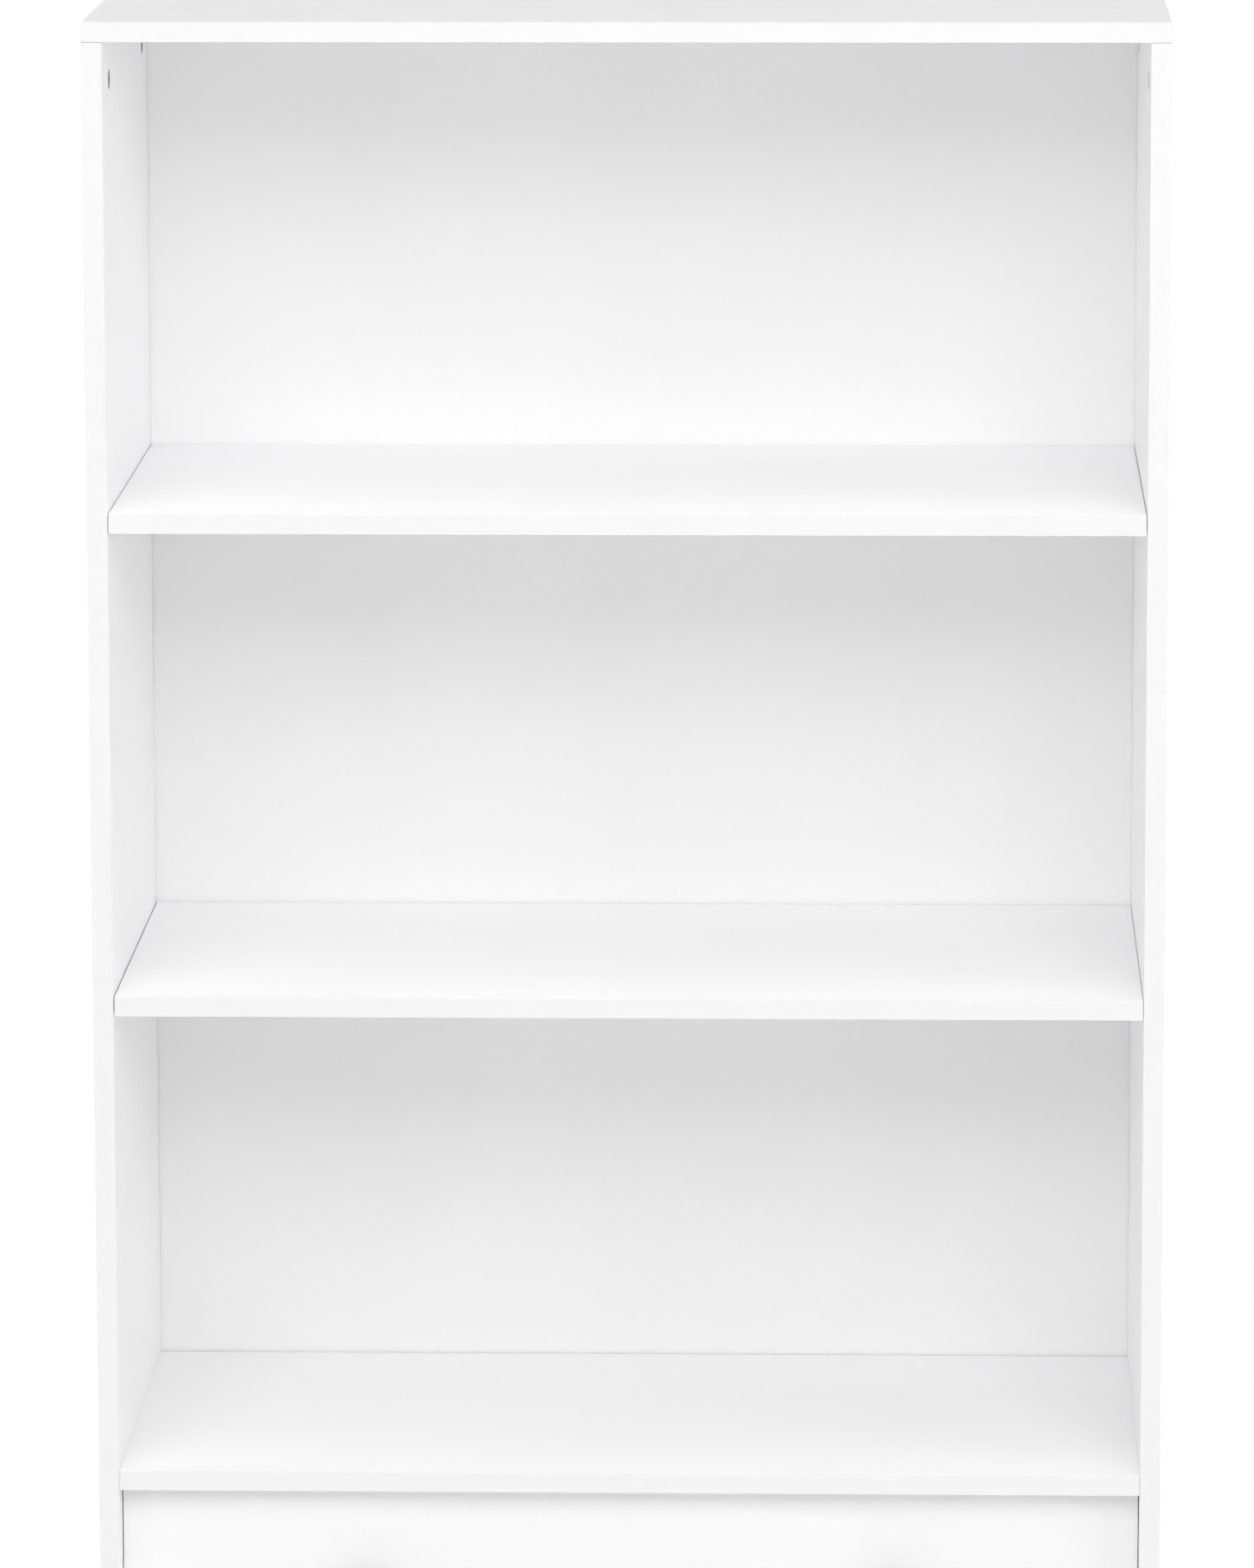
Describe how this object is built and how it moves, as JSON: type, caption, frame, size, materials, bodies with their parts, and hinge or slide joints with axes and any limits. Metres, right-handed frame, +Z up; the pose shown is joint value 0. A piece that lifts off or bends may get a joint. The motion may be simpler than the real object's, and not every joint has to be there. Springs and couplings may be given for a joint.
{
  "type": "bookcase with drawers",
  "caption": "Tall white board bookcase with open compartments on loose shelves above full-width drawers on roller runners, with a wall bracket against tipping.",
  "frame": {"origin": "on the floor, under the middle of the carcass", "axes": "+Z up, +Y to the back, +X to the right seen from the front"},
  "size_m": [0.8, 0.4, 1.5],
  "materials": {
    "white_melamine": "white melamine on chipboard, fine satin texture",
    "white_foil_board": "white foil on chipboard",
    "white_hardboard": "white lacquered hardboard, raw brown on the hidden face",
    "zinc_casting": "dull die-cast zinc",
    "zinc_plated_steel": "bright zinc plating",
    "beech": "plain turned beech",
    "white_runner_steel": "white epoxy coating",
    "nylon": "natural nylon",
    "glide_plastic": "matte plastic",
    "satin_nickel": "satin nickel"
  },
  "bodies": {
    "carcass": {"top_panel": "white_melamine", "left_side_panel": "white_melamine", "right_side_panel": "white_melamine", "bottom_shelf": "white_melamine", "base_panel": "white_melamine", "plinth_board": "white_melamine", "back_panel": "white_hardboard", "upper_shelf_pins": "zinc_plated_steel", "lower_shelf_pins": "zinc_plated_steel", "carcass_cam_discs": "zinc_casting", "carcass_cam_bolts": "zinc_plated_steel", "carcass_dowels": "beech", "back_panel_nails": "zinc_plated_steel", "floor_glides": "glide_plastic", "wall_bracket": "zinc_plated_steel", "wall_bracket_screws": "zinc_plated_steel", "cabinet_runner_screws": "zinc_plated_steel", "upper_drawer_left_cabinet_runner": "white_runner_steel", "upper_drawer_right_cabinet_runner": "white_runner_steel", "lower_drawer_left_cabinet_runner": "white_runner_steel", "lower_drawer_right_cabinet_runner": "white_runner_steel"},
    "upper_shelf": {"upper_shelf": "white_melamine"},
    "lower_shelf": {"lower_shelf": "white_melamine"},
    "upper_drawer": {"upper_drawer_front": "white_melamine", "upper_drawer_left_side": "white_foil_board", "upper_drawer_right_side": "white_foil_board", "upper_drawer_back": "white_foil_board", "upper_drawer_bottom": "white_hardboard", "upper_drawer_knobs": "satin_nickel", "upper_drawer_knob_screws": "zinc_plated_steel", "upper_drawer_cam_discs": "zinc_casting", "upper_drawer_cam_bolts": "zinc_plated_steel", "upper_drawer_dowels": "beech", "upper_drawer_back_screws": "zinc_plated_steel", "upper_drawer_left_rail": "white_runner_steel", "upper_drawer_right_rail": "white_runner_steel", "upper_drawer_rail_screws": "zinc_plated_steel"},
    "upper_front_rollers": {"upper_drawer_front_rollers": "nylon"},
    "upper_rear_rollers": {"upper_drawer_rear_rollers": "nylon"},
    "lower_drawer": {"lower_drawer_front": "white_melamine", "lower_drawer_left_side": "white_foil_board", "lower_drawer_right_side": "white_foil_board", "lower_drawer_back": "white_foil_board", "lower_drawer_bottom": "white_hardboard", "lower_drawer_knobs": "satin_nickel", "lower_drawer_knob_screws": "zinc_plated_steel", "lower_drawer_cam_discs": "zinc_casting", "lower_drawer_cam_bolts": "zinc_plated_steel", "lower_drawer_dowels": "beech", "lower_drawer_back_screws": "zinc_plated_steel", "lower_drawer_left_rail": "white_runner_steel", "lower_drawer_right_rail": "white_runner_steel", "lower_drawer_rail_screws": "zinc_plated_steel"},
    "lower_front_rollers": {"lower_drawer_front_rollers": "nylon"},
    "lower_rear_rollers": {"lower_drawer_rear_rollers": "nylon"}
  },
  "joints": [
    {"name": "upper_drawer_slide", "type": "slide", "parent": "carcass", "child": "upper_drawer", "axis": [0, -1, 0], "range_m": [0, 0.25]},
    {"name": "upper_front_roller_spin", "type": "hinge", "parent": "carcass", "child": "upper_front_rollers", "pos_m": [0, -0.146, 0.2556], "axis": [1, 0, 0], "continuous": true},
    {"name": "upper_rear_roller_spin", "type": "hinge", "parent": "upper_drawer", "child": "upper_rear_rollers", "pos_m": [0, 0.166, 0.2546], "axis": [1, 0, 0], "continuous": true},
    {"name": "lower_drawer_slide", "type": "slide", "parent": "carcass", "child": "lower_drawer", "axis": [0, -1, 0], "range_m": [0, 0.25]},
    {"name": "lower_front_roller_spin", "type": "hinge", "parent": "carcass", "child": "lower_front_rollers", "pos_m": [0, -0.146, 0.0926], "axis": [1, 0, 0], "continuous": true},
    {"name": "lower_rear_roller_spin", "type": "hinge", "parent": "lower_drawer", "child": "lower_rear_rollers", "pos_m": [0, 0.166, 0.0916], "axis": [1, 0, 0], "continuous": true},
    {"name": "upper_shelf_lift", "type": "slide", "parent": "carcass", "child": "upper_shelf", "axis": [0, 0, 1], "range_m": [0, 0.06]},
    {"name": "lower_shelf_lift", "type": "slide", "parent": "carcass", "child": "lower_shelf", "axis": [0, 0, 1], "range_m": [0, 0.06]}
  ],
  "couplings": [
    {"joint": "upper_front_roller_spin", "follows": "upper_drawer_slide", "rad_per_m": 133.33},
    {"joint": "upper_rear_roller_spin", "follows": "upper_drawer_slide", "rad_per_m": 133.33},
    {"joint": "lower_front_roller_spin", "follows": "lower_drawer_slide", "rad_per_m": 133.33},
    {"joint": "lower_rear_roller_spin", "follows": "lower_drawer_slide", "rad_per_m": 133.33}
  ]
}
